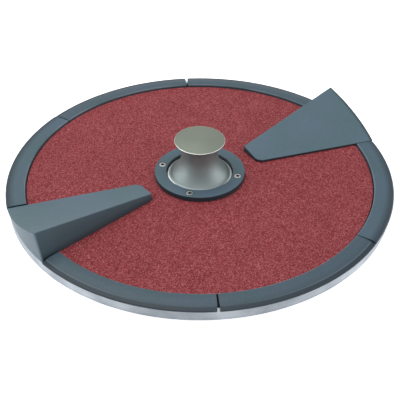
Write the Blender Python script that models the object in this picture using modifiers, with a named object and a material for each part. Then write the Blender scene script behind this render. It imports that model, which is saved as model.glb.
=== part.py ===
"""Abrasive turntable plate of a commercial root-vegetable peeler.

Metres, +Z up.  The origin is on the axis of rotation, at the plane that the plate rests on.
Seen from above, the two ramps rise anticlockwise, starting from +X.
"""
import math

import bmesh
import bpy
from mathutils import Matrix, Vector

MM = 0.001

# Driving dimensions, in millimetres.
OUTER_R = 200.0                 # rim segments and ramps, outside
SEGMENT_INNER_R = 180.0         # inner edge of the rim segments
BAND_R = 198.0                  # turned metal band of the base plate
RIM_TOP = 15.0                  # top of the rim segments above the rest plane
GRIT_TOP = 12.5                 # top of the abrasive
GAP = 0.3                       # between solids that touch
ABRASIVE_BOTTOM = 10.2
ABRASIVE_INNER_R = 35.5
WEB_TOP = ABRASIVE_BOTTOM - GAP
WEB_BOTTOM = 5.4
BAND_WALL = 6.0
SHOULDER_START_R = 193.6        # where the rim's flat top starts to round over
SHOULDER_DROP = 2.8
SHOULDER_POWER = 0.85           # squarer than a quarter of an ellipse below 1
RIM_CHAMFER = 0.6               # on the inner edge
LIP_R = 198.4                   # lower edge of the rim segments and ramps, just outside the band
BORE_R = 17.4                   # centre hole of the base plate
RIB_COUNT = 6
RIB_WIDTH = 5.0
RIB_BOTTOM = 1.6

RING_R = 47.0                   # retaining ring
RING_HOLE_R = 34.4
RING_TOP = 18.0
RING_BOTTOM = GRIT_TOP + GAP
RING_EDGE = 1.0                 # rounding of the ring's two top edges
RING_SCREW_R = 40.4
RING_SCREW_ANGLES = [-14.5 + 90.0 * i for i in range(4)]

KNOB_TOP = 55.8
KNOB_CAP_R = 25.9
KNOB_CAP_EDGE = 1.2
KNOB_CAP_CORNER = 0.5
KNOB_NECK_R = 18.5
KNOB_NECK_Z = 45.0
KNOB_FILLET_SETBACK = 1.0       # from the cap's edge to the fillet below it
KNOB_FILLET_TOP = 8.2           # of the fillet above the neck's height
KNOB_FILLET_DEPTH = 4.2
KNOB_FLARE_R = 30.6             # where the flare meets the foot
KNOB_FLARE_POWER = 2.5
KNOB_FOOT_R = 33.6
KNOB_FOOT_Z = 14.0
KNOB_LIP_TOP = 15.9             # raised bead round the foot
KNOB_WALL = 2.8
KNOB_SEAL_R = 30.2
KNOB_CEILING = 31.0             # top of the hollow that covers the hub
KNOB_HOLLOW_R = 18.4            # of the hollow at its top

HUB_BOTTOM = 0.8
HUB_FLANGE_R = 42.0
HUB_FLANGE_TOP = WEB_BOTTOM - GAP
HUB_BARREL_R = 17.0
HUB_TOP = 29.0
SOCKET_R = 12.5                 # for a 25 mm drive shaft
SOCKET_TOP = 24.0
HUB_BORE_R = 8.4                # hole in the hub's top wall
HUB_SCREW_R = 33.0
HUB_SCREW_ANGLES = [RING_SCREW_ANGLES[0] + 45.0 + 90.0 * i for i in range(4)]
DRIVE_SLOT_LENGTH = 50.0
DRIVE_SLOT_WIDTH = 8.6
DRIVE_SLOT_TOP = 7.0

SLEEVE_R = 8.0
SLEEVE_THREAD_R = 5.1
SLEEVE_BOTTOM = 19.5
SLEEVE_TOP = 46.7
SLEEVE_THREAD_TOP = 44.0
SLEEVE_CHAMFER = 0.6
SLEEVE_GROOVE_R = 7.0
CLIP_BOTTOM = 21.9
CLIP_TOP = 22.9
CLIP_INNER_R = 7.3
CLIP_OUTER_R = 10.8
CLIP_OPENING = 3.4
WASHER_INNER_R = 8.6
WASHER_OUTER_R = 15.5

# The rim is two equal halves, each of three segments and one ramp.
FIRST_JOINT = -85.2             # joint at the front, degrees from +X
SEGMENT_ARC = 51.3
WIDE_JOINT = 1.8                # gap at the front and back joints
NARROW_JOINT = 1.0              # gap at every other joint
SEGMENT_SCREW_R = 186.0
RAMP_LOW = FIRST_JOINT + 2.0 * SEGMENT_ARC
RAMP_ARC = 180.0 - 3.0 * SEGMENT_ARC
RAMP_TIP_R = 64.0
RAMP_TIP_STEP = 1.0             # the low corner of the tip is further out than the high one
RAMP_TIP_AHEAD = 0.3            # the tip's high corner is this many degrees past the high edge
RAMP_PEAK = 41.4                # top of the ramp at the rim
RAMP_TIP_TOP = 19.5             # top of its high corner at the tip
RAMP_LOW_TIP_TOP = 15.2         # top of its low edge at the tip
RAMP_LOW_RIM_TOP = 14.6         # and at the rim, a little below the rim's top
RAMP_DRAFT = 0.27               # lean of the steep face, run over rise
RAMP_TIP_TURN = 0.4             # the low edge is this many degrees off radial
RAMP_TOP_R = 198.6              # the outer wall leans in to this radius at its top
RAMP_SCREWS = [(95.0, 0.62), (145.0, 0.58), (186.0, 0.5)]   # (radius, share of the arc)
RAMP_BEVEL = 1.0

# M4 screws.
SCREW_HOLE_R = 2.2
SHANK_R = 1.8
SHANK_TIP_R = 1.3
SHANK_TIP = 0.5                 # length of the tip's taper
FLAT_HEAD_R = 3.6
FLAT_HEAD_EDGE = 0.3
FLAT_HEAD_DEPTH = 2.1
PAN_HEAD_R = 3.5
PAN_HEAD_DEPTH = 2.3
HEAD_SUNK = 0.15                # flat heads sit this far below the surface
RECESS_LENGTH = 3.6
RECESS_WIDTH = 1.0
RECESS_DEPTH = 1.6
RING_SCREW_TIP = 5.9
HUB_SCREW_TIP = 9.4
SEGMENT_SCREW_TIP = 13.0
RAMP_SCREW_TIP = 16.8
BLIND_END = 0.4                 # from a screw's tip to the end of its hole

LARGE_STEPS = 96
MEDIUM_STEPS = 44
SMALL_STEPS = 28
SCREW_STEPS = 10


# Scene and material helpers

def clear_scene():
    for obj in list(bpy.data.objects):
        bpy.data.objects.remove(obj, do_unlink=True)


def new_collection(name):
    collection = bpy.data.collections.new(name)
    bpy.context.scene.collection.children.link(collection)
    return collection


def material(name, colour, roughness, metallic=0.0):
    mat = bpy.data.materials.new(name)
    mat.use_nodes = True
    shader = mat.node_tree.nodes["Principled BSDF"]
    shader.inputs["Base Color"].default_value = (*colour, 1.0)
    shader.inputs["Roughness"].default_value = roughness
    shader.inputs["Metallic"].default_value = metallic
    return mat


def add(name, mesh, mat):
    obj = bpy.data.objects.new(name, mesh)
    obj.data.materials.append(mat)
    PARTS.objects.link(obj)
    return obj


def polar(radius, degrees, z=0.0):
    """A point in metres from millimetres and degrees."""
    angle = math.radians(degrees)
    return Vector((radius * math.cos(angle), radius * math.sin(angle), z)) * MM


# Shape helpers

def profile_mesh(name, points, closed):
    mesh = bpy.data.meshes.new(name)
    count = len(points)
    edges = [(i, (i + 1) % count) for i in range(count if closed else count - 1)]
    mesh.from_pydata([(r * MM, 0.0, z * MM) for r, z in points], edges, [])
    return mesh


def lathe(name, points, mat, steps, closed=False):
    """Turn a profile of (radius, height) points, listed down its outer side, about Z."""
    obj = add(name, profile_mesh(name, points, closed), mat)
    screw = obj.modifiers.new("turn", "SCREW")
    screw.axis = "Z"
    screw.steps = steps
    screw.render_steps = steps
    screw.use_merge_vertices = True
    screw.merge_threshold = 0.00001
    screw.use_smooth_shade = True
    return obj


def cut(target, cutter_mesh, name):
    """Take a mesh away from a part with a Boolean."""
    cutter = bpy.data.objects.new(target.name + "_" + name, cutter_mesh)
    cutter.hide_render = True
    cutter.display_type = "WIRE"
    CUTTERS.objects.link(cutter)
    boolean = target.modifiers.new(name, "BOOLEAN")
    boolean.operation = "DIFFERENCE"
    boolean.object = cutter
    boolean.solver = "EXACT"
    boolean.use_self = True


def add_cone(bm, centre, low_r, high_r, low, high, steps):
    """A closed cone or cylinder standing on `low`, at a centre in metres, other sizes in millimetres."""
    place = Matrix.Translation((centre.x, centre.y, (low + high) / 2 * MM))
    bmesh.ops.create_cone(bm, cap_ends=True, segments=steps, radius1=low_r * MM, radius2=high_r * MM,
                          depth=(high - low) * MM, matrix=place)


def holes_mesh(name, centres, stages, steps=SCREW_STEPS):
    """Round cutters at each centre, one cone for each stage of (low_r, high_r, low, high)."""
    bm = bmesh.new()
    for centre in centres:
        for low_r, high_r, low, high in stages:
            add_cone(bm, centre, low_r, high_r, low, high, steps)
    mesh = bpy.data.meshes.new(name)
    bm.to_mesh(mesh)
    bm.free()
    return mesh


def box_mesh(name, length, width, low, high, turn=0.0):
    bm = bmesh.new()
    bmesh.ops.create_cube(bm, size=1.0)
    bmesh.ops.scale(bm, vec=(length * MM, width * MM, (high - low) * MM), verts=bm.verts)
    bmesh.ops.translate(bm, vec=(0.0, 0.0, (low + high) / 2 * MM), verts=bm.verts)
    bmesh.ops.rotate(bm, matrix=Matrix.Rotation(math.radians(turn), 3, "Z"), verts=bm.verts)
    mesh = bpy.data.meshes.new(name)
    bm.to_mesh(mesh)
    bm.free()
    return mesh


# Screw places

def segment_starts():
    """The first angle of each rim segment, in order round the rim."""
    starts = []
    for half in (0.0, 180.0):
        starts.append(FIRST_JOINT + half)
        starts.append(FIRST_JOINT + SEGMENT_ARC + half)
        starts.append(FIRST_JOINT + 180.0 - SEGMENT_ARC + half)
    return starts


def segment_screw_places():
    return [polar(SEGMENT_SCREW_R, start + SEGMENT_ARC * share)
            for start in segment_starts() for share in (0.2, 0.8)]


def ramp_screw_places():
    return [polar(radius, RAMP_LOW + half + RAMP_ARC * share)
            for half in (0.0, 180.0) for radius, share in RAMP_SCREWS]


def ring_screw_places():
    return [polar(RING_SCREW_R, angle) for angle in RING_SCREW_ANGLES]


def hub_screw_places():
    return [polar(HUB_SCREW_R, angle) for angle in HUB_SCREW_ANGLES]


# Parts

def add_rib(plate, turn):
    """Join one radial rib, from near the hub out into the band's wall, to the plate."""
    inner_end = HUB_FLANGE_R + 6.0
    outer_end = BAND_R - BAND_WALL + 3.0
    mesh = box_mesh("rib", outer_end - inner_end, RIB_WIDTH, RIB_BOTTOM, WEB_BOTTOM + 1.0)
    rib = bpy.data.objects.new("rib", mesh)
    rib.location = polar((inner_end + outer_end) / 2, turn)
    rib.rotation_euler.z = math.radians(turn)
    rib.hide_render = True
    rib.display_type = "WIRE"
    CUTTERS.objects.link(rib)
    union = plate.modifiers.new("rib", "BOOLEAN")
    union.operation = "UNION"
    union.object = rib
    union.solver = "EXACT"


def base_plate(mat):
    """Cast disc with a turned band round its edge and stiffening ribs underneath."""
    inner = BAND_R - BAND_WALL
    plate = lathe("base_plate", [
        (BORE_R, WEB_TOP), (BAND_R - 0.6, WEB_TOP), (BAND_R, WEB_TOP - 0.6),
        (BAND_R, 0.8), (BAND_R - 0.8, 0.0), (inner, 0.0),
        (inner - 0.8, WEB_BOTTOM - 1.2), (inner - 2.4, WEB_BOTTOM),
        (BORE_R, WEB_BOTTOM)], mat, LARGE_STEPS, closed=True)
    for index in range(RIB_COUNT):
        add_rib(plate, 360.0 / RIB_COUNT * index)
    centres = segment_screw_places() + ramp_screw_places() + ring_screw_places() + hub_screw_places()
    stages = [(SCREW_HOLE_R, SCREW_HOLE_R, WEB_BOTTOM - 1.0, WEB_TOP + 1.0)]
    cut(plate, holes_mesh("web_holes", centres, stages), "holes")
    return plate


def abrasive_disc(mat):
    disc = lathe("abrasive_disc", [
        (ABRASIVE_INNER_R, GRIT_TOP), (SEGMENT_INNER_R - GAP, GRIT_TOP),
        (SEGMENT_INNER_R - GAP, ABRASIVE_BOTTOM), (ABRASIVE_INNER_R, ABRASIVE_BOTTOM)],
        mat, LARGE_STEPS, closed=True)
    centres = ring_screw_places() + [p for p in ramp_screw_places() if p.length < SEGMENT_INNER_R * MM]
    stages = [(SCREW_HOLE_R, SCREW_HOLE_R, ABRASIVE_BOTTOM - 1.0, GRIT_TOP + 1.0)]
    cut(disc, holes_mesh("disc_holes", centres, stages), "holes")
    return disc


def rim_profile():
    """Cross-section of a rim segment: flat top, full rounded shoulder and a lip tucked in over the band."""
    shoulder = []
    width = OUTER_R - SHOULDER_START_R
    for step in range(5):
        angle = math.radians(90.0 * step / 4)
        shoulder.append((SHOULDER_START_R + width * math.sin(angle) ** SHOULDER_POWER,
                         RIM_TOP - SHOULDER_DROP + SHOULDER_DROP * math.cos(angle) ** SHOULDER_POWER))
    return [(SEGMENT_INNER_R, RIM_TOP - RIM_CHAMFER), (SEGMENT_INNER_R + RIM_CHAMFER, RIM_TOP)] + shoulder + [
        (LIP_R, ABRASIVE_BOTTOM), (SEGMENT_INNER_R, ABRASIVE_BOTTOM)]


def rim_segment(name, start, end, mat):
    """Sweep the rim's cross-section from one angle to another."""
    bm = bmesh.new()
    verts = [bm.verts.new((r * MM, 0.0, z * MM)) for r, z in rim_profile()]
    face = bm.faces.new(verts)
    bmesh.ops.rotate(bm, matrix=Matrix.Rotation(math.radians(start), 3, "Z"), verts=bm.verts)
    steps = round((end - start) / 3.6)
    bmesh.ops.spin(bm, geom=[face] + face.edges[:] + face.verts[:], axis=(0.0, 0.0, 1.0),
                   cent=(0.0, 0.0, 0.0), angle=math.radians(end - start), steps=steps)
    bmesh.ops.recalc_face_normals(bm, faces=bm.faces)
    mesh = bpy.data.meshes.new(name)
    bm.to_mesh(mesh)
    bm.free()
    return add(name, mesh, mat)


def rim_segments(mat):
    """Three segments on each half of the rim, with the wide joints at front and back."""
    wide = math.degrees(WIDE_JOINT / 2 / OUTER_R)
    narrow = math.degrees(NARROW_JOINT / 2 / OUTER_R)
    screws = segment_screw_places()
    for index, start in enumerate(segment_starts()):
        end = start + SEGMENT_ARC
        first = wide if index % 3 == 0 else narrow
        last = wide if index % 3 == 2 else narrow
        segment = rim_segment("rim_segment_" + str(index + 1), start + first, end - last, mat)
        centres = screws[2 * index:2 * index + 2]
        stages = [(SCREW_HOLE_R, SCREW_HOLE_R, ABRASIVE_BOTTOM - 1.0, SEGMENT_SCREW_TIP + BLIND_END)]
        cut(segment, holes_mesh("blind", centres, stages), "holes")


def ramp_point(low, high, u, v, z):
    """A point on the ramp's plan: u runs from its low to its high edge, v from its tip to the rim."""
    tip_low = polar(RAMP_TIP_R + RAMP_TIP_STEP, low + RAMP_TIP_TURN)
    tip = tip_low.lerp(polar(RAMP_TIP_R, high + RAMP_TIP_AHEAD), u)
    place = tip.lerp(polar(OUTER_R, low + (high - low) * u), v)
    return Vector((place.x, place.y, z * MM))


def ramp_mesh(turn):
    """A drafted wedge, lofted from its low edge to its high edge and from its tip to the rim."""
    across = 6
    along = 5
    gap = math.degrees(NARROW_JOINT / 2 / OUTER_R)
    low = RAMP_LOW + turn + gap
    high = RAMP_LOW + RAMP_ARC + turn - gap
    back = polar(1.0, high - 90.0).normalized()
    bm = bmesh.new()
    top = []
    bottom = []
    for i in range(along + 1):
        v = i / along
        crest = RAMP_TIP_TOP + (RAMP_PEAK - RAMP_TIP_TOP) * v
        low_top = RAMP_LOW_TIP_TOP + (RAMP_LOW_RIM_TOP - RAMP_LOW_TIP_TOP) * v
        top_row = []
        bottom_row = []
        for j in range(across + 1):
            u = j / across
            z = low_top + (crest - low_top) * u
            point = ramp_point(low, high, u, v, z)
            lean = back * (RAMP_DRAFT * (crest - ABRASIVE_BOTTOM) * u * MM)
            inset = polar(1.0, low + (high - low) * u) * ((OUTER_R - RAMP_TOP_R) * u * v)
            top_row.append(bm.verts.new(point + lean - inset))
            tuck = polar(1.0, low + (high - low) * u) * ((OUTER_R - LIP_R) * v)
            bottom_row.append(bm.verts.new(ramp_point(low, high, u, v, ABRASIVE_BOTTOM) - tuck))
        top.append(top_row)
        bottom.append(bottom_row)
    for i in range(along):
        for j in range(across):
            bm.faces.new([top[i][j], top[i + 1][j], top[i + 1][j + 1], top[i][j + 1]])
            bm.faces.new([bottom[i][j + 1], bottom[i + 1][j + 1], bottom[i + 1][j], bottom[i][j]])
        bm.faces.new([top[i + 1][0], top[i][0], bottom[i][0], bottom[i + 1][0]])
        bm.faces.new([top[i][-1], top[i + 1][-1], bottom[i + 1][-1], bottom[i][-1]])
    for j in range(across):
        bm.faces.new([top[0][j], top[0][j + 1], bottom[0][j + 1], bottom[0][j]])
        bm.faces.new([top[-1][j + 1], top[-1][j], bottom[-1][j], bottom[-1][j + 1]])
    bmesh.ops.recalc_face_normals(bm, faces=bm.faces)
    mesh = bpy.data.meshes.new("ramp")
    bm.to_mesh(mesh)
    bm.free()
    return mesh


def ramps(mat):
    """Two wedges, half a turn apart, that sit on the abrasive and on the plate's edge."""
    screws = ramp_screw_places()
    for index in range(2):
        ramp = add("ramp_" + str(index + 1), ramp_mesh(180.0 * index), mat)
        bevel = ramp.modifiers.new("edges", "BEVEL")
        bevel.width = RAMP_BEVEL * MM
        bevel.segments = 1
        bevel.limit_method = "ANGLE"
        bevel.angle_limit = math.radians(35.0)
        centre = [Vector((0.0, 0.0, 0.0))]
        stages = [(SEGMENT_INNER_R, SEGMENT_INNER_R, 0.0, GRIT_TOP + GAP)]
        cut(ramp, holes_mesh("seat", centre, stages, LARGE_STEPS), "seat")
        centres = screws[3 * index:3 * index + 3]
        stages = [(SCREW_HOLE_R, SCREW_HOLE_R, ABRASIVE_BOTTOM - 1.0, RAMP_SCREW_TIP + BLIND_END)]
        cut(ramp, holes_mesh("blind", centres, stages), "holes")


def retaining_ring(mat):
    corner = RING_EDGE * 0.3
    ring = lathe("retaining_ring", [
        (RING_HOLE_R, RING_TOP - RING_EDGE), (RING_HOLE_R + corner, RING_TOP - corner),
        (RING_HOLE_R + RING_EDGE, RING_TOP), (RING_R - RING_EDGE, RING_TOP),
        (RING_R - corner, RING_TOP - corner), (RING_R, RING_TOP - RING_EDGE),
        (RING_R, RING_BOTTOM), (RING_HOLE_R, RING_BOTTOM)], mat, MEDIUM_STEPS, closed=True)
    stages = [(SCREW_HOLE_R, SCREW_HOLE_R, RING_BOTTOM - 1.0, RING_TOP + 1.0),
              (2.1, 5.0, RING_TOP - FLAT_HEAD_DEPTH, RING_TOP + 0.8)]
    cut(ring, holes_mesh("countersinks", ring_screw_places(), stages), "holes")
    return ring


def knob_flare(offset, count):
    """Points down the hollow-sided flare of the knob, moved inwards by an offset."""
    points = []
    for step in range(count + 1):
        t = step / count
        radius = KNOB_NECK_R + (KNOB_FLARE_R - KNOB_NECK_R) * t ** KNOB_FLARE_POWER
        points.append((radius - offset, KNOB_NECK_Z + (KNOB_FOOT_Z + 1.0 - KNOB_NECK_Z) * t))
    return points


def knob(mat):
    """Turned spool: flat cap, narrow neck and a flared foot, hollow underneath."""
    fillet = []
    start = KNOB_CAP_R - KNOB_FILLET_SETBACK
    for step in range(4):
        angle = math.radians(90.0 * step / 3)
        fillet.append((start - (start - KNOB_NECK_R) * math.sin(angle),
                       KNOB_NECK_Z + KNOB_FILLET_TOP - KNOB_FILLET_DEPTH * (1.0 - math.cos(angle))))
    outer = knob_flare(0.0, 8)
    inner = [(r, z) for r, z in reversed(knob_flare(KNOB_WALL, 6)) if z < KNOB_CEILING - 1.0]
    points = [(0.0, KNOB_TOP), (KNOB_CAP_R - KNOB_CAP_CORNER, KNOB_TOP),
              (KNOB_CAP_R, KNOB_TOP - KNOB_CAP_CORNER), (KNOB_CAP_R, KNOB_TOP - KNOB_CAP_EDGE)]
    points += fillet + outer
    points += [(KNOB_FOOT_R - 1.8, KNOB_FOOT_Z + 0.9), (KNOB_FOOT_R - 1.2, KNOB_LIP_TOP),
               (KNOB_FOOT_R - 0.4, KNOB_LIP_TOP), (KNOB_FOOT_R, KNOB_LIP_TOP - 0.4),
               (KNOB_FOOT_R, KNOB_FOOT_Z), (KNOB_FLARE_R - KNOB_WALL, KNOB_FOOT_Z)] + inner
    points += [(KNOB_HOLLOW_R, KNOB_CEILING), (SLEEVE_R + GAP, KNOB_CEILING),
               (SLEEVE_R + GAP, SLEEVE_TOP + GAP), (0.0, SLEEVE_TOP + GAP)]
    return lathe("knob", points, mat, MEDIUM_STEPS)


def thread_sleeve(mat):
    """Threaded bush inside the knob, with a groove for the clip that holds it to the hub."""
    return lathe("thread_sleeve", [
        (0.0, SLEEVE_TOP), (SLEEVE_R - SLEEVE_CHAMFER, SLEEVE_TOP), (SLEEVE_R, SLEEVE_TOP - SLEEVE_CHAMFER),
        (SLEEVE_R, CLIP_TOP + GAP), (SLEEVE_GROOVE_R, CLIP_TOP + GAP), (SLEEVE_GROOVE_R, CLIP_BOTTOM - GAP),
        (SLEEVE_R, CLIP_BOTTOM - GAP), (SLEEVE_R, SLEEVE_BOTTOM),
        (SLEEVE_THREAD_R + SLEEVE_CHAMFER, SLEEVE_BOTTOM), (SLEEVE_THREAD_R, SLEEVE_BOTTOM + SLEEVE_CHAMFER),
        (SLEEVE_THREAD_R, SLEEVE_THREAD_TOP), (0.0, SLEEVE_THREAD_TOP)], mat, SMALL_STEPS)


def knob_clip(mat):
    """Open retaining clip in the sleeve's groove, under the top wall of the hub."""
    clip = lathe("knob_clip", [
        (CLIP_INNER_R, CLIP_TOP), (CLIP_OUTER_R, CLIP_TOP),
        (CLIP_OUTER_R, CLIP_BOTTOM), (CLIP_INNER_R, CLIP_BOTTOM)],
        mat, SMALL_STEPS, closed=True)
    length = CLIP_OUTER_R - CLIP_INNER_R + 4.0
    slot = box_mesh("clip_slot", length, CLIP_OPENING, CLIP_BOTTOM - 2.0, CLIP_TOP + 2.0)
    slot.transform(Matrix.Translation(((CLIP_INNER_R + CLIP_OUTER_R) / 2 * MM, 0.0, 0.0)))
    cut(clip, slot, "slot")
    return clip


def thrust_washer(mat):
    return lathe("thrust_washer", [
        (WASHER_INNER_R, KNOB_CEILING - GAP), (WASHER_OUTER_R, KNOB_CEILING - GAP),
        (WASHER_OUTER_R, HUB_TOP + GAP), (WASHER_INNER_R, HUB_TOP + GAP)], mat, SMALL_STEPS, closed=True)


def knob_seal(mat):
    """Round rubber ring under the foot of the knob."""
    minor = (KNOB_FOOT_Z - WEB_TOP) / 2 - GAP
    middle = WEB_TOP + GAP + minor
    points = []
    for step in range(6):
        angle = math.radians(-60.0 * step)
        points.append((KNOB_SEAL_R + minor * math.cos(angle), middle + minor * math.sin(angle)))
    return lathe("knob_seal", points, mat, MEDIUM_STEPS, closed=True)


def hub(mat):
    """Flanged drive hub with a blind shaft socket and a slot for the shaft's cross pin."""
    part = lathe("hub", [
        (HUB_BORE_R, HUB_TOP), (HUB_BARREL_R - 1.0, HUB_TOP), (HUB_BARREL_R, HUB_TOP - 1.0),
        (HUB_BARREL_R, HUB_FLANGE_TOP), (HUB_FLANGE_R, HUB_FLANGE_TOP), (HUB_FLANGE_R, HUB_BOTTOM + 0.8),
        (HUB_FLANGE_R - 0.8, HUB_BOTTOM), (SOCKET_R + 1.0, HUB_BOTTOM), (SOCKET_R, HUB_BOTTOM + 1.0),
        (SOCKET_R, SOCKET_TOP), (HUB_BORE_R, SOCKET_TOP)], mat, MEDIUM_STEPS, closed=True)
    slot = box_mesh("drive_slot", DRIVE_SLOT_LENGTH, DRIVE_SLOT_WIDTH, HUB_BOTTOM - 2.0, DRIVE_SLOT_TOP)
    cut(part, slot, "slot")
    stages = [(SCREW_HOLE_R, SCREW_HOLE_R, HUB_BOTTOM - 1.0, HUB_FLANGE_TOP + 1.0),
              (4.9, 2.1, HUB_BOTTOM - 0.6, HUB_BOTTOM + 2.2)]
    cut(part, holes_mesh("countersinks", hub_screw_places(), stages), "holes")
    return part


# Fasteners

def cross_recess(centre, low, high):
    """Cutter for a cross-shaped driver recess."""
    bm = bmesh.new()
    for turn in (0.0, 90.0):
        geom = bmesh.ops.create_cube(bm, size=1.0)["verts"]
        bmesh.ops.scale(bm, vec=(RECESS_LENGTH * MM, RECESS_WIDTH * MM, (high - low) * MM), verts=geom)
        bmesh.ops.rotate(bm, matrix=Matrix.Rotation(math.radians(turn + 45.0), 3, "Z"), verts=geom)
        bmesh.ops.translate(bm, vec=(centre.x, centre.y, (low + high) / 2 * MM), verts=geom)
    mesh = bpy.data.meshes.new("recess")
    bm.to_mesh(mesh)
    bm.free()
    return mesh


def countersunk_profile(head, tip):
    """A flat-headed screw with its head at `head` and its tip at `tip`."""
    way = 1.0 if head > tip else -1.0
    return [(0.0, head), (FLAT_HEAD_R, head), (FLAT_HEAD_R, head - FLAT_HEAD_EDGE * way),
            (SHANK_R, head - FLAT_HEAD_DEPTH * way), (SHANK_R, tip + SHANK_TIP * way),
            (SHANK_TIP_R, tip), (0.0, tip)]


def pan_profile(head, tip):
    """A low domed head under the plate, with its shank upwards."""
    return [(0.0, tip), (SHANK_TIP_R, tip), (SHANK_R, tip - SHANK_TIP), (SHANK_R, head + PAN_HEAD_DEPTH),
            (PAN_HEAD_R, head + PAN_HEAD_DEPTH), (PAN_HEAD_R, head + 0.9),
            (PAN_HEAD_R - 0.9, head), (0.0, head)]


def screw(name, place, profile, mat):
    obj = lathe(name, profile, mat, SCREW_STEPS)
    obj.location = (place.x, place.y, 0.0)
    return obj


def fasteners(mat):
    for index, place in enumerate(ring_screw_places()):
        profile = countersunk_profile(RING_TOP - HEAD_SUNK, RING_SCREW_TIP)
        part = screw("ring_screw_" + str(index + 1), place, profile, mat)
        cut(part, cross_recess(place, RING_TOP - RECESS_DEPTH, RING_TOP + 1.0), "recess")
    for index, place in enumerate(hub_screw_places()):
        profile = list(reversed(countersunk_profile(HUB_BOTTOM + HEAD_SUNK, HUB_SCREW_TIP)))
        screw("hub_screw_" + str(index + 1), place, profile, mat)
    head = WEB_BOTTOM - GAP - PAN_HEAD_DEPTH
    for index, place in enumerate(segment_screw_places()):
        screw("segment_screw_" + str(index + 1), place, pan_profile(head, SEGMENT_SCREW_TIP), mat)
    for index, place in enumerate(ramp_screw_places()):
        screw("ramp_screw_" + str(index + 1), place, pan_profile(head, RAMP_SCREW_TIP), mat)


clear_scene()
PARTS = new_collection("abrasive_turntable_plate")
CUTTERS = new_collection("cutters")


def main():
    cast = material("cast_aluminium", (0.55, 0.56, 0.57), 0.42, 1.0)
    grit = material("red_grit", (0.30, 0.06, 0.06), 0.95)
    plastic = material("slate_plastic", (0.06, 0.08, 0.09), 0.5)
    steel = material("satin_steel", (0.60, 0.60, 0.58), 0.3, 1.0)
    machined = material("machined_steel", (0.50, 0.50, 0.50), 0.35, 1.0)
    bronze = material("bronze", (0.45, 0.28, 0.12), 0.4, 1.0)
    rubber = material("seal_rubber", (0.02, 0.02, 0.02), 0.8)
    base_plate(cast)
    abrasive_disc(grit)
    rim_segments(plastic)
    ramps(plastic)
    retaining_ring(plastic)
    hub(machined)
    thrust_washer(bronze)
    knob_seal(rubber)
    fasteners(steel)
    knob(steel)
    thread_sleeve(machined)
    knob_clip(machined)


main()
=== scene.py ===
"""Looks of the abrasive turntable plate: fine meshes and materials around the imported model."""
import math
import random

import bmesh
import bpy
from mathutils import Matrix, Vector


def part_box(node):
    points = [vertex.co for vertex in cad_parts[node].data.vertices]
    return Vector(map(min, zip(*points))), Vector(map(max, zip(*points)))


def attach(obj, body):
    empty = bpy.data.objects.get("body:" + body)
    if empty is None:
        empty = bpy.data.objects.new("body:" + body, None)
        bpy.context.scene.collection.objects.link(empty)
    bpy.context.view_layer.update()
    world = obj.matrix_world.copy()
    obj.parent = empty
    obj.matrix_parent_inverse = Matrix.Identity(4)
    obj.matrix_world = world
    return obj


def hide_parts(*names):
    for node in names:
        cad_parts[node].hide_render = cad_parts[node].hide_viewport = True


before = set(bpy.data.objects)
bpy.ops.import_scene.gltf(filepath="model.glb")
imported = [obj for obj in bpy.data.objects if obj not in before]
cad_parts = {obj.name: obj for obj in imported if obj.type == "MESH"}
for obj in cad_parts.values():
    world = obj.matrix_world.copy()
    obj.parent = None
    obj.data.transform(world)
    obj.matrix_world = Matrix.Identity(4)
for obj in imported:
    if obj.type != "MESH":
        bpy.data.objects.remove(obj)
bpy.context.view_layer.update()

MM = 0.001
FULL_TURN = 2.0 * math.pi
PLATE = "plate"
KNOB_BODY = "clamp_knob"
SCREWS = {"segment": 12, "ramp": 6, "ring": 4, "hub": 4}


# Measures taken from the imported model

def radii(node):
    """Smallest and largest distance of a node's vertices from the plate's axis."""
    reach = [math.hypot(v.co.x, v.co.y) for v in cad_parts[node].data.vertices]
    return min(reach), max(reach)


def heights(node):
    low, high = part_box(node)
    return low.z, high.z


def middle(node):
    low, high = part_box(node)
    return (low + high) / 2


def screw_names(kind):
    return [kind + "_screw_" + str(index + 1) for index in range(SCREWS[kind])]


def turns(node):
    """First and last angle about the plate's axis, anticlockwise, of a node's outermost part."""
    centre = middle(node)
    facing = math.atan2(centre.y, centre.x)
    outermost = 0.95 * radii(node)[1]
    spread = []
    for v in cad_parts[node].data.vertices:
        if math.hypot(v.co.x, v.co.y) > outermost:
            turn = math.atan2(v.co.y, v.co.x) - facing
            spread.append((turn + math.pi) % FULL_TURN - math.pi)
    return facing + min(spread), facing + max(spread)


RIM_INNER, RIM_OUTER = radii("rim_segment_1")
RIM_BOTTOM, RIM_TOP = heights("rim_segment_1")
GRIT_INNER, GRIT_OUTER = radii("abrasive_disc")
GRIT_BOTTOM, GRIT_TOP = heights("abrasive_disc")
BORE_R, BAND_R = radii("base_plate")
WEB_TOP = heights("base_plate")[1]
RING_HOLE_R, RING_R = radii("retaining_ring")
RING_BOTTOM, RING_TOP = heights("retaining_ring")
KNOB_FOOT_R = radii("knob")[1]
KNOB_BOTTOM, KNOB_TOP = heights("knob")
HUB_FLANGE_R = radii("hub")[1]
HUB_BOTTOM, HUB_TOP = heights("hub")
GAP = GRIT_BOTTOM - WEB_TOP


# Mesh helpers

def polar(radius, turn, z=0.0):
    return Vector((radius * math.cos(turn), radius * math.sin(turn), z))


def quarter(steps, first=0):
    """Angles from 0 to a quarter turn, without those before the first."""
    return [math.pi / 2 * step / steps for step in range(first, steps + 1)]


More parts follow.
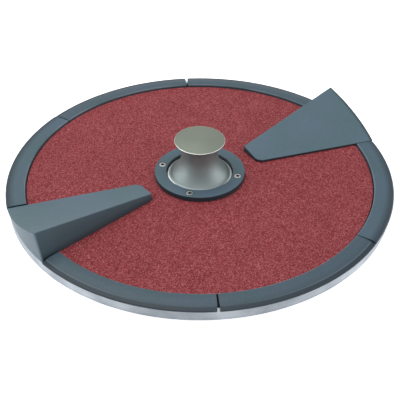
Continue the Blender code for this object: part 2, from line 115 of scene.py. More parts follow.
def eased(outline, steps=4):
    """The points of an outline of (radius, height, ease) corners.

    Each corner is rounded from `ease` before it to `ease` after it.
    """
    points = []
    count = len(outline)
    for index, (radius, height, ease) in enumerate(outline):
        corner = Vector((radius, height))
        if ease == 0.0:
            points.append(corner)
            continue
        before = (Vector(outline[index - 1][:2]) - corner).normalized() * ease + corner
        after = (Vector(outline[(index + 1) % count][:2]) - corner).normalized() * ease + corner
        for step in range(steps + 1):
            t = step / steps
            points.append(before * (1.0 - t) ** 2 + corner * (2.0 * t * (1.0 - t)) + after * t * t)
    return points


def join_rings(bm, upper, lower):
    """Faces between two loops of the same length, with no face where both share a vertex."""
    count = len(upper)
    for k in range(count):
        n = (k + 1) % count
        corners = list(dict.fromkeys([upper[k], lower[k], lower[n], upper[n]]))
        if len(corners) > 2:
            bm.faces.new(corners)


def turned(outline, steps, closed=True):
    """A bmesh of an outline of (radius, height) points turned about Z."""
    bm = bmesh.new()
    rings = []
    for radius, height in outline:
        if radius == 0.0:
            rings.append([bm.verts.new((0.0, 0.0, height))] * steps)
        else:
            places = [polar(radius, FULL_TURN * k / steps, height) for k in range(steps)]
            rings.append([bm.verts.new(place) for place in places])
    for upper, lower in zip(rings, rings[1:]):
        join_rings(bm, upper, lower)
    if closed:
        join_rings(bm, rings[-1], rings[0])
    return bm


def smooth(mesh, crease):
    """Smooth shading, with edges sharper than `crease` degrees kept sharp."""
    mesh.shade_smooth()
    mesh.set_sharp_from_angle(angle=math.radians(crease))
    return mesh


def to_mesh(name, bm, crease=35.0):
    bmesh.ops.recalc_face_normals(bm, faces=bm.faces)
    mesh = bpy.data.meshes.new(name)
    bm.to_mesh(mesh)
    bm.free()
    return smooth(mesh, crease)


def new_object(name, mesh):
    obj = bpy.data.objects.new(name, mesh)
    bpy.context.scene.collection.objects.link(obj)
    return obj


def combine(mesh, tool, operation, crease=35.0):
    """The mesh after a Boolean with a tool's bmesh."""
    body = new_object("body", mesh)
    other = new_object("tool", to_mesh("tool", tool))
    boolean = body.modifiers.new("boolean", "BOOLEAN")
    boolean.operation = operation
    boolean.object = other
    boolean.solver = "EXACT"
    boolean.use_self = True
    graph = bpy.context.evaluated_depsgraph_get()
    made = bpy.data.meshes.new_from_object(body.evaluated_get(graph))
    for used in (body, other):
        bpy.data.objects.remove(used)
    return smooth(made, crease)


def add_cone(bm, centre, low_r, high_r, low, high, steps=40):
    """A closed cone or cylinder from height `low` to `high` round a centre."""
    place = Matrix.Translation((centre.x, centre.y, (low + high) / 2))
    bmesh.ops.create_cone(bm, cap_ends=True, segments=steps, radius1=low_r, radius2=high_r,
                          depth=high - low, matrix=place)


def add_block(bm, centre, size, turn=0.0, taper=1.0):
    """A block, narrowed at its foot by `taper`, turned about its own middle."""
    verts = bmesh.ops.create_cube(bm, size=1.0)["verts"]
    for v in verts:
        if v.co.z < 0.0:
            v.co.x *= taper
            v.co.y *= taper
    bmesh.ops.scale(bm, vec=size, verts=verts)
    bmesh.ops.rotate(bm, matrix=Matrix.Rotation(turn, 3, "Z"), verts=verts)
    bmesh.ops.translate(bm, vec=centre, verts=verts)


def outmost(mesh, face):
    """How far the farthest corner of a face lies from the mesh's axis."""
    return max(mesh.vertices[index].co.xy.length for index in face.vertices)


def paint(mesh, *finishes):
    """Give a mesh its materials, in the order of the faces' material numbers."""
    mesh.materials.clear()
    for finish in finishes:
        mesh.materials.append(finish)


def stand_in(obj, body, node):
    """Let an object, once it is in its place, ride on a body and stand for a CAD node."""
    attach(obj, body)
    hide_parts(node)


# Material helpers

class Nodes:
    """Short calls that add nodes to a node tree."""

    def __init__(self, tree):
        self.nodes = tree.nodes
        self.links = tree.links

    def fill(self, socket, value):
        """Give a socket a value or another node's output."""
        if isinstance(value, bpy.types.NodeSocket):
            self.links.new(value, socket)
        else:
            socket.default_value = value

    def add(self, kind, inputs=None, **settings):
        """A new node with these settings, and values or links for its inputs."""
        node = self.nodes.new(kind)
        for key, value in settings.items():
            setattr(node, key, value)
        for key, value in (inputs or {}).items():
            self.fill(node.inputs[key], value)
        return node

    def math(self, operation, first, second=0.0):
        return self.add("ShaderNodeMath", {0: first, 1: second}, operation=operation).outputs[0]

    def plus(self, first, second):
        return self.math("ADD", first, second)

    def times(self, first, second):
        return self.math("MULTIPLY", first, second)

    def along(self, vector, axis):
        return self.add("ShaderNodeSeparateXYZ", {0: vector}).outputs[axis]


class Finish(Nodes):
    """A Principled material and the textures that its looks are made of."""

    def __init__(self, name, colour, roughness, metallic=0.0, **settings):
        self.material = bpy.data.materials.new(name)
        self.material.use_nodes = True
        super().__init__(self.material.node_tree)
        self.shader = self.nodes["Principled BSDF"]
        self.set("Base Color", (*colour, 1.0))
        self.set("Roughness", roughness)
        self.set("Metallic", metallic)
        for key, value in settings.items():
            self.set(key.replace("_", " "), value)
        self.where = self.add("ShaderNodeTexCoord").outputs["Object"]

    def set(self, socket, value):
        self.fill(self.shader.inputs[socket], value)

    def radius(self):
        """Distance from the plate's axis."""
        inputs = {0: self.where, 1: (1.0, 1.0, 0.0)}
        flat = self.add("ShaderNodeVectorMath", inputs, operation="MULTIPLY")
        length = self.add("ShaderNodeVectorMath", {0: flat.outputs["Vector"]}, operation="LENGTH")
        return length.outputs["Value"]

    def height(self):
        return self.along(self.where, "Z")

    def sideways(self):
        """Distance from the plane that splits the plate into left and right."""
        return self.math("ABSOLUTE", self.along(self.where, "X"))

    def upward(self):
        """How far a face looks up: 1 for a level face, 0 for an upright wall."""
        return self.along(self.add("ShaderNodeTexCoord").outputs["Normal"], "Z")

    def noise(self, size, detail=3.0, roughness=0.5):
        """Noise with features of about `size` metres."""
        inputs = {"Vector": self.where, "Scale": 1.0 / size, "Detail": detail, "Roughness": roughness}
        return self.add("ShaderNodeTexNoise", inputs).outputs["Fac"]

    def lines(self, value, size, detail=4.0):
        """Noise that changes only with one value: tool marks `size` metres apart."""
        inputs = {"W": value, "Scale": 1.0 / size, "Detail": detail}
        return self.add("ShaderNodeTexNoise", inputs, noise_dimensions="1D").outputs["Fac"]

    def turning_marks(self, size):
        """Lines that follow a lathe tool across level faces and down upright ones."""
        return self.lines(self.math("SUBTRACT", self.radius(), self.height()), size)

    def cells(self, size):
        """Irregular grains of about `size` metres."""
        return self.add("ShaderNodeTexVoronoi", {"Vector": self.where, "Scale": 1.0 / size})

    def random(self, cells, channel):
        """A random value for each grain."""
        return self.add("ShaderNodeSeparateColor", {0: cells.outputs["Color"]}).outputs[channel]

    def range(self, value, low, high, from_low=0.0, from_high=1.0):
        """A value moved from one range to another."""
        inputs = {"Value": value, "To Min": low, "To Max": high}
        inputs.update({"From Min": from_low, "From Max": from_high})
        return self.add("ShaderNodeMapRange", inputs).outputs["Result"]

    def by_radius(self, first, last, start, end):
        """From `first` at the start radius to `last` at the end radius."""
        return self.range(self.radius(), first, last, start, end)

    def by_height(self, first, last, start, end):
        """From `first` at the start height to `last` at the end height."""
        return self.range(self.height(), first, last, start, end)

    def ramp(self, value, *stops):
        """A colour for each value, from (position, colour) stops."""
        node = self.add("ShaderNodeValToRGB", {"Fac": value})
        elements = node.color_ramp.elements
        while len(elements) < len(stops):
            elements.new(0.5)
        for element, (position, colour) in zip(elements, stops):
            element.position = position
            element.color = (*colour, 1.0)
        return node.outputs["Color"]

    def tint(self, value, dark, pale, low=0.3, high=0.7):
        """Colour the surface from dark to pale as a value rises."""
        self.set("Base Color", self.ramp(value, (low, dark), (high, pale)))

    def rough(self, value, low, high):
        """Roughness that rises from `low` to `high` with a value."""
        self.set("Roughness", self.range(value, low, high))

    def mix(self, factor, first, second, blend="MIX"):
        inputs = {"Factor": factor, 6: first, 7: second}
        return self.add("ShaderNodeMix", inputs, data_type="RGBA", blend_type=blend).outputs[2]

    def bump(self, height, distance, strength=1.0, under=None):
        inputs = {"Height": height, "Distance": distance, "Strength": strength}
        if under is not None:
            inputs["Normal"] = under
        normal = self.add("ShaderNodeBump", inputs).outputs["Normal"]
        self.set("Normal", normal)
        return normal

    def spun(self, amount):
        """Spread highlights across the tool's rings, as on a turned face."""
        tangent = self.add("ShaderNodeTangent", direction_type="RADIAL", axis="Z")
        self.set("Anisotropic", amount)
        self.set("Anisotropic Rotation", 0.25)
        self.set("Tangent", tangent.outputs["Tangent"])


# Materials

# Colours of painted shade, of painted light on lit walls and of painted highlights on edges
SLATE_PAINTED_SHADE = (0.012, 0.020, 0.028, 1.0)
SLATE_PAINTED_LIGHT = (0.150, 0.210, 0.260, 1.0)
PAINTED_HIGHLIGHT = (0.34, 0.38, 0.42, 1.0)


def edge_shade_and_highlight(finish, body, edge):
    """Painted shade: the body darker beyond the rim's crisp edge; painted highlights: a pale line on
    the edge and on the lip.
    """
    # Painted shade, starting a little before the edge and deeper on the wall beyond it
    near = finish.by_radius(0.0, 0.25, edge - 6.0 * MM, edge)
    wall = finish.by_radius(0.0, 0.60, edge + 0.3 * MM, edge + 1.2 * MM)
    body = finish.mix(finish.plus(near, wall), body, SLATE_PAINTED_SHADE)
    # Painted highlight along the edge, towards the left and right only
    line = finish.by_radius(0.0, 0.10, edge - 1.0 * MM, edge - 0.1 * MM)
    line = finish.times(line, finish.by_radius(1.0, 0.0, edge + 0.2 * MM, edge + 0.6 * MM))
    line = finish.times(line, finish.range(finish.sideways(), 0.0, 1.0, 40 * MM, 110 * MM))
    # Painted highlight on the lip just above the rim's foot
    lip = finish.by_height(0.13, 0.0, RIM_BOTTOM + 0.9 * MM, RIM_BOTTOM + 1.9 * MM)
    lip = finish.times(lip, finish.by_radius(0.0, 1.0, edge, edge + 1.0 * MM))
    return finish.mix(finish.plus(line, lip), body, PAINTED_HIGHLIGHT)


def inner_edge_highlight(finish, body, inner):
    """A painted highlight: the body paler here and there along the rim's inner edge."""
    inner_highlight = finish.by_radius(0.28, 0.0, inner + 0.2 * MM, inner + 1.4 * MM)
    inner_highlight = finish.times(inner_highlight, finish.range(finish.noise(60 * MM), 0.2, 1.0, 0.40, 0.60))
    above = finish.by_height(0.0, 1.0, GRIT_TOP + 0.8 * MM, GRIT_TOP + 1.2 * MM)
    return finish.mix(finish.times(inner_highlight, above), body, PAINTED_HIGHLIGHT)


def slate_plastic(name, tone, walls, foot=0.0, shoulder=None, edge=None, lit_wall_r=None, inner_highlight_r=None):
    """Dark blue-grey moulded plastic with a fine stipple and faint flow marks.

    Painted shade darkens upright walls by `walls`, and by `foot` more at the disc.  The last four are
    radii:
    painted shade past the shoulder or the crisp edge, with a painted highlight on that edge and on the
    lip;
    painted light on the walls past the third; and a painted highlight along the inner edge.
    """
    finish = Finish(name, (0.07, 0.115, 0.15), 0.5, Specular_IOR_Level=0.35)
    flow = finish.noise(60 * MM, 4.0, 0.6)
    body = finish.ramp(flow, (0.3, (0.060, 0.110, 0.124)), (0.7, (0.074, 0.117, 0.162)))
    speck = finish.noise(0.9 * MM, 2.0)
    speck = finish.ramp(speck, (0.35, (0.86 * tone,) * 3), (0.65, (1.10 * tone,) * 3))
    body = finish.mix(1.0, body, speck, "MULTIPLY")
    # Painted shade on upright walls, and more near the disc
    upright = finish.range(finish.upward(), 1.0, 0.0, 0.3, 0.8)
    low = finish.by_height(foot, 0.0, GRIT_TOP, GRIT_TOP + 7 * MM)
    body = finish.mix(finish.times(upright, finish.plus(low, walls)), body, SLATE_PAINTED_SHADE)
    # Painted shade past the shoulder
    if shoulder:
        beyond = finish.by_radius(0.0, 0.80, shoulder, RIM_OUTER - 1.5 * MM)
        body = finish.mix(beyond, body, SLATE_PAINTED_SHADE)
    if edge:
        body = edge_shade_and_highlight(finish, body, edge)
    # Painted light: upright walls paler past this radius
    if lit_wall_r:
        pale = finish.by_radius(0.0, 0.45, lit_wall_r, lit_wall_r + 0.4 * MM)
        body = finish.mix(finish.times(upright, pale), body, SLATE_PAINTED_LIGHT)
    # Painted highlight along the rim's inner edge
    if inner_highlight_r:
        body = inner_edge_highlight(finish, body, inner_highlight_r)
    finish.set("Base Color", body)
    finish.rough(finish.noise(4 * MM, 3.0), 0.42, 0.52)
    coarse = finish.bump(finish.noise(1.6 * MM, 2.0), 0.05 * MM, 0.35)
    finish.bump(finish.noise(0.45 * MM, 2.0), 0.03 * MM, 0.5, coarse)
    return finish.material


def red_grit():
    """Bonded red abrasive: grains of several shades, with a few dark pits and a few pale grains."""
    finish = Finish("red_grit", (0.25, 0.055, 0.06), 0.7, Specular_IOR_Level=0.2)
    grains = finish.cells(0.9 * MM)
    small = finish.cells(0.45 * MM)
    shade = finish.times(finish.random(grains, "Red"), 0.45)
    shade = finish.plus(shade, finish.times(finish.random(small, "Red"), 0.55))
    body = finish.ramp(shade, (0.12, (0.065, 0.004, 0.006)), (0.38, (0.190, 0.020, 0.025)),
                       (0.66, (0.257, 0.044, 0.050)), (0.90, (0.436, 0.160, 0.163)))
    blotch = finish.noise(28 * MM, 4.0, 0.6)
    blotch = finish.ramp(blotch, (0.3, (0.93, 0.90, 0.90)), (0.7, (1.05, 1.06, 1.06)))
    finish.set("Base Color", finish.mix(1.0, body, blotch, "MULTIPLY"))
    finish.rough(finish.random(small, "Green"), 0.5, 0.9)
    finish.bump(small.outputs["Distance"], 0.4 * MM, 0.6)
    return finish.material


def satin_steel():
    """Turned and brushed stainless steel, with fine rings round its axis."""
    finish = Finish("satin_steel", (0.28, 0.31, 0.29), 0.54, 1.0)
    rings = finish.turning_marks(0.5 * MM)
    spool = finish.ramp(rings, (0.3, (0.232, 0.271, 0.268)), (0.7, (0.293, 0.334, 0.331)))
    # Painted reflection: the cap gets its own darker, greener tint than the spool
    cap = finish.ramp(rings, (0.3, (0.210, 0.233, 0.192)), (0.7, (0.262, 0.288, 0.240)))
    on_cap = finish.by_height(0.0, 1.0, KNOB_TOP - 0.6 * MM, KNOB_TOP - 0.2 * MM)
    finish.set("Base Color", finish.mix(on_cap, spool, cap))
    finish.rough(finish.noise(14 * MM, 4.0, 0.6), 0.46, 0.54)
    finish.bump(rings, 0.02 * MM, 0.2)
    finish.spun(0.1)
    return finish.material


def bright_steel():
    """The same steel where an edge is rounded and polished."""
    finish = Finish("bright_steel", (0.8, 0.82, 0.80), 0.25, 1.0)
    wear = finish.noise(5 * MM, 3.0)
    finish.tint(wear, (0.72, 0.75, 0.73), (0.88, 0.90, 0.88))
    finish.rough(wear, 0.28, 0.38)
    finish.bump(finish.noise(0.6 * MM), 0.01 * MM, 0.2)
    return finish.material


def turned_band():
    """Bright lathe-cut aluminium with fine horizontal lines."""
    finish = Finish("turned_band", (0.78, 0.80, 0.83), 0.25, 1.0)
    lines = finish.lines(finish.height(), 0.45 * MM, 5.0)
    tone = finish.ramp(lines, (0.3, (0.36, 0.39, 0.42)), (0.6, (0.48, 0.51, 0.55)))
    patch = finish.noise(26 * MM, 3.0)
    patch = finish.ramp(patch, (0.35, (0.76, 0.78, 0.80)), (0.65, (1.10, 1.10, 1.10)))
    finish.set("Base Color", finish.mix(1.0, tone, patch, "MULTIPLY"))
    finish.rough(finish.noise(9 * MM), 0.42, 0.50)
    finish.bump(lines, 0.03 * MM, 0.6)
    finish.spun(0.9)
    return finish.material


def cast_aluminium():
    """Sand-cast aluminium: a dull grey skin with a coarse grain and slight staining."""
    finish = Finish("cast_aluminium", (0.50, 0.51, 0.52), 0.55, 1.0)
    finish.tint(finish.noise(35 * MM, 5.0, 0.6), (0.43, 0.44, 0.45), (0.56, 0.57, 0.58))
    finish.rough(finish.noise(3 * MM), 0.48, 0.68)
    skin = finish.bump(finish.noise(2.2 * MM, 4.0, 0.65), 0.25 * MM, 0.6)
    finish.bump(finish.cells(0.7 * MM).outputs["Distance"], 0.06 * MM, 0.5, skin)
    return finish.material


def machined_steel():
    """Lathe-cut steel with visible feed marks."""
    finish = Finish("machined_steel", (0.52, 0.53, 0.54), 0.34, 1.0)
    rings = finish.turning_marks(0.6 * MM)
    finish.tint(rings, (0.46, 0.47, 0.48), (0.58, 0.59, 0.60))
    finish.rough(finish.noise(5 * MM), 0.28, 0.42)
    finish.bump(rings, 0.04 * MM, 0.5)
    finish.spun(0.4)
    return finish.material


def screw_steel():
    """Bright stainless screws with a faint grain."""
    finish = Finish("screw_steel", (0.74, 0.74, 0.72), 0.26, 1.0)
    grain = finish.noise(0.5 * MM, 3.0)
    finish.tint(grain, (0.66, 0.66, 0.64), (0.80, 0.80, 0.78))
    finish.rough(grain, 0.2, 0.34)
    finish.bump(grain, 0.02 * MM, 0.4)
    return finish.material


def bronze():
    """Oiled bearing bronze."""
    finish = Finish("bronze", (0.45, 0.28, 0.12), 0.38, 1.0)
    tarnish = finish.noise(4 * MM, 4.0)
    finish.tint(tarnish, (0.36, 0.21, 0.09), (0.55, 0.36, 0.17))
    finish.rough(tarnish, 0.3, 0.48)
    finish.bump(finish.noise(0.6 * MM), 0.02 * MM, 0.4)
    return finish.material


def seal_rubber():
    """Matt black rubber with a slight bloom."""
    finish = Finish("seal_rubber", (0.02, 0.02, 0.02), 0.75)
    finish.tint(finish.noise(3 * MM, 4.0), (0.014, 0.014, 0.015), (0.04, 0.04, 0.04), 0.4, 0.8)
    finish.bump(finish.noise(0.4 * MM), 0.02 * MM, 0.5)
    return finish.material


def painted_shade():
    """Black painted shade in recesses and gaps and round the screw heads."""
    finish = Finish("painted_shade", (0.01, 0.01, 0.01), 0.9)
    patch = finish.noise(1.5 * MM, 3.0)
    finish.tint(patch, (0.006, 0.006, 0.006), (0.030, 0.024, 0.018), 0.4, 0.8)
    finish.bump(patch, 0.05 * MM, 0.5)
    return finish.material


# Abrasive disc

GRAIN = 0.9 * MM                # spacing of the grains in the mesh
GRAIN_ROW = 0.87                # rows are closer together than the grains along them
GRAIN_HEIGHT = 0.17 * MM
GRAIN_SCATTER = 0.2             # how far a grain strays from its place, in spacings
GRIT_EDGE = GRIT_OUTER - 0.9 * MM   # a gap shows between the disc and the rim, its edge in painted shade
GRIT_INNER_STEPS = 240
GRIT_EDGE_STEPS = 1080


def grain_ring(bm, radius, height, chance):
    """A loop of vertices a grain apart, each moved a little along the loop and up or down."""
    count = round(FULL_TURN * radius / GRAIN)
    offset = chance.random()
    ring = []
    for k in range(count):
        turn = FULL_TURN * (k + offset + chance.uniform(-GRAIN_SCATTER, GRAIN_SCATTER)) / count
        bump = chance.uniform(-1.0, 1.0)
        away = radius + chance.uniform(-GRAIN_SCATTER, GRAIN_SCATTER) * GRAIN
        ring.append((turn, bm.verts.new(polar(away, turn, height + bump * abs(bump) * GRAIN_HEIGHT))))
    return ring


def plain_ring(bm, radius, height, count):
    turns_round = [FULL_TURN * k / count for k in range(count)]
    return [(turn, bm.verts.new(polar(radius, turn, height))) for turn in turns_round]


def zip_rings(bm, inner, outer):
    """Triangles between two loops that may have different numbers of vertices."""
    i = 0
    o = 0
    while i < len(inner) or o < len(outer):
        next_inner = inner[(i + 1) % len(inner)][0] + FULL_TURN * ((i + 1) // len(inner))
        next_outer = outer[(o + 1) % len(outer)][0] + FULL_TURN * ((o + 1) // len(outer))
        a = inner[i % len(inner)][1]
        b = outer[o % len(outer)][1]
        if o >= len(outer) or (i < len(inner) and next_inner <= next_outer):
            i += 1
            bm.faces.new((a, b, inner[i % len(inner)][1]))
        else:
            o += 1
            bm.faces.new((a, b, outer[o % len(outer)][1]))


def grit_disc(finish, shade_paint):
    """The disc with its top as a field of grains, and painted shade on its outer edge."""
    chance = random.Random(7)
    bm = bmesh.new()
    crown = GRIT_TOP - GRAIN_HEIGHT
    first = plain_ring(bm, GRIT_INNER, crown, GRIT_INNER_STEPS)
    last = plain_ring(bm, GRIT_EDGE, crown, GRIT_EDGE_STEPS)
    rings = [first]
    count = round((GRIT_EDGE - GRIT_INNER) / (GRAIN * GRAIN_ROW))
    for k in range(1, count):
        radius = GRIT_INNER + (GRIT_EDGE - GRIT_INNER) * k / count
        rings.append(grain_ring(bm, radius, crown, chance))
    rings.append(last)
    rings.append(plain_ring(bm, GRIT_EDGE, GRIT_BOTTOM, GRIT_EDGE_STEPS))
    rings.append(plain_ring(bm, GRIT_INNER, GRIT_BOTTOM, GRIT_INNER_STEPS))
    rings.append(first)
    for inner, outer in zip(rings, rings[1:]):
        zip_rings(bm, inner, outer)
    mesh = to_mesh("grit_disc", bm, 80.0)
    paint(mesh, finish, shade_paint)
    # Painted shade on the disc's outer edge, in the gap at the rim
    for face in mesh.polygons:
        if face.center.xy.length > GRIT_EDGE - 0.1 * MM:
            face.material_index = 1
    stand_in(new_object("grit_disc", mesh), PLATE, "abrasive_disc")


# Rim

EDGE_R = RIM_OUTER - 4.8 * MM   # crisp outer edge of four of the pieces
EDGE_DROP = 0.8 * MM            # the top falls by this just before it
FALL = 5.5 * MM                 # width of that fall
BREAK_R = EDGE_R + 1.0 * MM     # small flat beyond the edge
BREAK_DROP = 0.6 * MM
ROUND_R = RIM_OUTER - 6.4 * MM  # start of the rounded shoulder of the other two
SHOULDER_DROP = 2.8 * MM
CURVE = 0.85                    # squarer than a quarter of an ellipse below 1
LIP_TUCK = 1.8 * MM             # the lower edge tucks in over the band
ROUNDED = (2, 5)                # the two pieces with a rounded shoulder
LOOSE_END = 5                   # this piece stops short of its ramp
LOOSE_GAP = 1.1 * MM
RIM_EASE = 1.1 * MM             # rounding of the inner edge
END_REACH = 4.0 * MM            # length over which a piece's end flares
END_STEPS = [0.0, 0.35 * MM, 1.0 * MM, 2.0 * MM, 3.0 * MM]
WIDE_FLARE = 1.5 * MM           # extra gap at the foot of a wide joint
NARROW_FLARE = 0.5 * MM
WEDGE = 0.5 * MM                # opening of a wedge-shaped joint at the outside
BULGE_STEPS = 14
TUCK_STEPS = 4


def bulge(start, top):
    """A rounded fall from (start, top) to the lip at the rim's full radius, and the tuck below it."""
    low = RIM_TOP - SHOULDER_DROP
    points = []
    for angle in quarter(BULGE_STEPS, 1):
        points.append(Vector((start + (RIM_OUTER - start) * math.sin(angle) ** CURVE,
                              low + (top - low) * abs(math.cos(angle)) ** CURVE)))
    for step in range(1, TUCK_STEPS + 1):
        t = step / TUCK_STEPS
        points.append(Vector((RIM_OUTER - LIP_TUCK * t * t, low + (RIM_BOTTOM - low) * t)))
    return points


def rim_outline(rounded):
    """Cross-section of the rim: flat top, crisp or rounded outer edge, and a lip over the band."""
    outline = [(RIM_INNER, RIM_BOTTOM, 0.0), (RIM_INNER, RIM_TOP, RIM_EASE)]
    if rounded:
        return eased(outline + [(ROUND_R, RIM_TOP, 0.0)]) + bulge(ROUND_R, RIM_TOP)
    edge = RIM_TOP - EDGE_DROP
    low = edge - BREAK_DROP
    outline += [(EDGE_R - FALL, RIM_TOP, FALL / 2), (EDGE_R, edge, 0.3 * MM), (BREAK_R, low, 0.0)]
    return eased(outline) + bulge(BREAK_R, low)


def rim_stations(first, last):
    """(turn, share of the first end's flare, share of the last end's) at each cross-section."""
    stations = [(first + d / RIM_OUTER, 1.0 - d / END_REACH, 0.0) for d in END_STEPS]
    start = first + END_REACH / RIM_OUTER
    stop = last - END_REACH / RIM_OUTER
    count = round(math.degrees(stop - start))
    stations += [(start + (stop - start) * k / count, 0.0, 0.0) for k in range(count + 1)]
    return stations + [(last - d / RIM_OUTER, 0.0, 1.0 - d / END_REACH) for d in reversed(END_STEPS)]


def rim_piece(index, finish):
    """One moulded rim segment: its ends flare at their foot, and some open outwards too."""
    node = "rim_segment_" + str(index)
    first, last = turns(node)
    if index == LOOSE_END:
        last -= LOOSE_GAP / RIM_OUTER
    flare_first = WIDE_FLARE if index % 3 == 1 else NARROW_FLARE
    flare_last = WIDE_FLARE if index % 3 == 0 else NARROW_FLARE
    wedge_first = WEDGE if index % 3 == 2 else 0.0
    wedge_last = WEDGE if index % 3 == 1 else 0.0
    bm = bmesh.new()
    sections = []
    for turn, share_first, share_last in rim_stations(first, last):
        section = []
        for radius, height in rim_outline(index in ROUNDED):
            fall = max(0.0, (RIM_TOP - height) / (RIM_TOP - RIM_BOTTOM)) if radius > ROUND_R else 0.0
            out = (radius - RIM_INNER) / (RIM_OUTER - RIM_INNER)
            shift = max(flare_first * fall, wedge_first * out) * share_first
            shift -= max(flare_last * fall, wedge_last * out) * share_last
            section.append(bm.verts.new(polar(radius, turn + shift / RIM_OUTER, height)))
        sections.append(section)
    for one, two in zip(sections, sections[1:]):
        join_rings(bm, one, two)
    bm.faces.new(sections[0])
    bm.faces.new(sections[-1])
    mesh = to_mesh("rim_piece", bm)
    paint(mesh, finish)
    obj = new_object("rim_piece_" + str(index), mesh)
    stand_in(obj, PLATE, node)
    bevel = obj.modifiers.new("edges", "BEVEL")
    bevel.width = 0.3 * MM
    bevel.segments = 2
    bevel.limit_method = "ANGLE"
    bevel.angle_limit = math.radians(50.0)
    bevel.harden_normals = True


# Ramps

RAMP_TIP_R = 64.0 * MM
RAMP_LENGTH = RIM_OUTER - RAMP_TIP_R
RAMP_PEAK = 41.4 * MM           # top of the ramp at the rim
RAMP_TIP_TOP = 19.5 * MM        # top of its high corner at the tip
RAMP_LOW_TIP_TOP = 15.2 * MM    # top of its low edge at the tip
RAMP_LOW_RIM_TOP = 14.6 * MM    # and at the rim, a little below the rim's top
RAMP_DRAFT = 0.27               # lean of the steep face, run over rise
RAMP_TIP_TURN = math.radians(0.4)
RAMP_TIP_STEP = 1.0 * MM        # the low corner of the tip is further out than the high one
RAMP_TIP_AHEAD = math.radians(0.3)
RAMP_TOP_TUCK = 1.4 * MM        # the outer wall leans in by this at its top
RAMP_EASE = 0.7 * MM
RAMP_EASE_STEPS = 4
RAMP_SEAT = GRIT_TOP + GAP
RAMP_CLOSE_U = 0.012            # share of the width with close stations at each side
RAMP_CLOSE_V = 0.009            # and of the length at the rim
CORNERS = {                     # plan rounding at each corner, along (u, v)
    (0, 0): (6.5 * MM, 6.5 * MM),
    (1, 0): (1.6 * MM, 1.6 * MM),
    (0, 1): (0.9 * MM, 0.9 * MM),
    (1, 1): (1.2 * MM, 1.2 * MM),
}


class Ramp:
    """Plan and surface of one ramp: u runs from its low to its high edge, v from its tip to the rim."""

    def __init__(self, node):
        self.low, self.high = turns(node)
        self.back = polar(1.0, self.high - math.pi / 2)
        self.tip_low = polar(RAMP_TIP_R + RAMP_TIP_STEP, self.low + RAMP_TIP_TURN)
        self.tip_high = polar(RAMP_TIP_R, self.high + RAMP_TIP_AHEAD)

    def width(self, v):
        tip = (self.tip_high - self.tip_low).length
        return tip + ((self.high - self.low) * RIM_OUTER - tip) * v

    def rounded(self, u, v):
        """Move a point of the unit square so that the plan's corners come out round."""
        for (cu, cv), (across, along) in CORNERS.items():
            a = across / self.width(cv)
            b = along / RAMP_LENGTH
            p = 1.0 - abs(u - cu) / a
            q = 1.0 - abs(v - cv) / b
            if p > 0.0 and q > 0.0:
                rounded_p = p * math.sqrt(1.0 - q * q / 2.0)
                rounded_q = q * math.sqrt(1.0 - p * p / 2.0)
                return abs(cu - a * (1.0 - rounded_p)), abs(cv - b * (1.0 - rounded_q))
        return u, v

    def plan(self, u, v, grow):
        """(u, v) after rounding, drawn in from the edge by the ease where grow is 0."""
        u, v = self.rounded(u, v)
        inset_u = RAMP_EASE * (1.0 - grow) / self.width(v)
        inset_v = RAMP_EASE * (1.0 - grow) / RAMP_LENGTH
        return inset_u + u * (1.0 - 2.0 * inset_u), inset_v + v * (1.0 - 2.0 * inset_v)

    def top(self, u, v):
        crest = RAMP_TIP_TOP + (RAMP_PEAK - RAMP_TIP_TOP) * v
        low_top = RAMP_LOW_TIP_TOP + (RAMP_LOW_RIM_TOP - RAMP_LOW_TIP_TOP) * v
        return low_top + (crest - low_top) * u

    def point(self, u, v, z):
        """The place of (u, v) at a height, with the steep face and the outer wall leaning."""
        turn = self.low + (self.high - self.low) * u
        place = self.tip_low.lerp(self.tip_high, u).lerp(polar(RIM_OUTER, turn), v)
        rise = (z - RIM_BOTTOM) / (self.top(u, v) - RIM_BOTTOM)
        lean = self.back * (RAMP_DRAFT * (z - RIM_BOTTOM) * u)
        tuck = LIP_TUCK * (1.0 - rise) + RAMP_TOP_TUCK * u * rise
        place = place + lean - polar(1.0, turn) * (tuck * v)
        return Vector((place.x, place.y, z))

    def skin(self, u, v, grow, drop):
        """A point of the top or of its rounded edge, by how far out and how far below it lies."""
        u, v = self.plan(u, v, grow)
        return self.point(u, v, self.top(u, v) - drop)


def stretch(stops, counts):
    """Stations from the first stop to the last, with a count of steps between each two."""
    stations = [stops[0]]
    for low, high, count in zip(stops, stops[1:], counts):
        stations += [low + (high - low) * (k + 1) / count for k in range(count)]
    return stations


def ramp_stations(ramp):
    """Stations across and along a ramp, and the number of the row at the disc's edge."""
    tip = ramp.width(0.0)
    blunt_across, blunt_along = CORNERS[0, 0]
    sharp_across, sharp_along = CORNERS[1, 0]
    across = stretch([0.0, RAMP_CLOSE_U, blunt_across / tip, 1.0 - sharp_across / tip,
                      1.0 - RAMP_CLOSE_U, 1.0], [4, 8, 16, 4, 4])
    seat = (RIM_INNER - RAMP_TIP_R) / RAMP_LENGTH
    along = stretch([0.0, sharp_along / RAMP_LENGTH, blunt_along / RAMP_LENGTH, seat,
                     1.0 - RAMP_CLOSE_V, 1.0], [4, 7, 18, 5, 4])
    return across, along, along.index(min(along, key=lambda v: abs(v - seat)))


def ramp_walls(bm, loop, wall, inner_foot, outer_foot, seat_row):
    """Faces from the rounded edge to the foot, which steps down at the disc's edge."""
    count = len(loop)
    for k in range(count):
        n = (k + 1) % count
        here = loop[k]
        there = loop[n]
        side = inner_foot if min(here[1], there[1]) < seat_row else outer_foot
        corners = [wall[k], side[here]]
        if side is outer_foot and here[1] == seat_row:
            corners.insert(1, inner_foot[here])
        corners.append(side[there])
        if side is outer_foot and there[1] == seat_row:
            corners.append(inner_foot[there])
        corners.append(wall[n])
        bm.faces.new(corners)


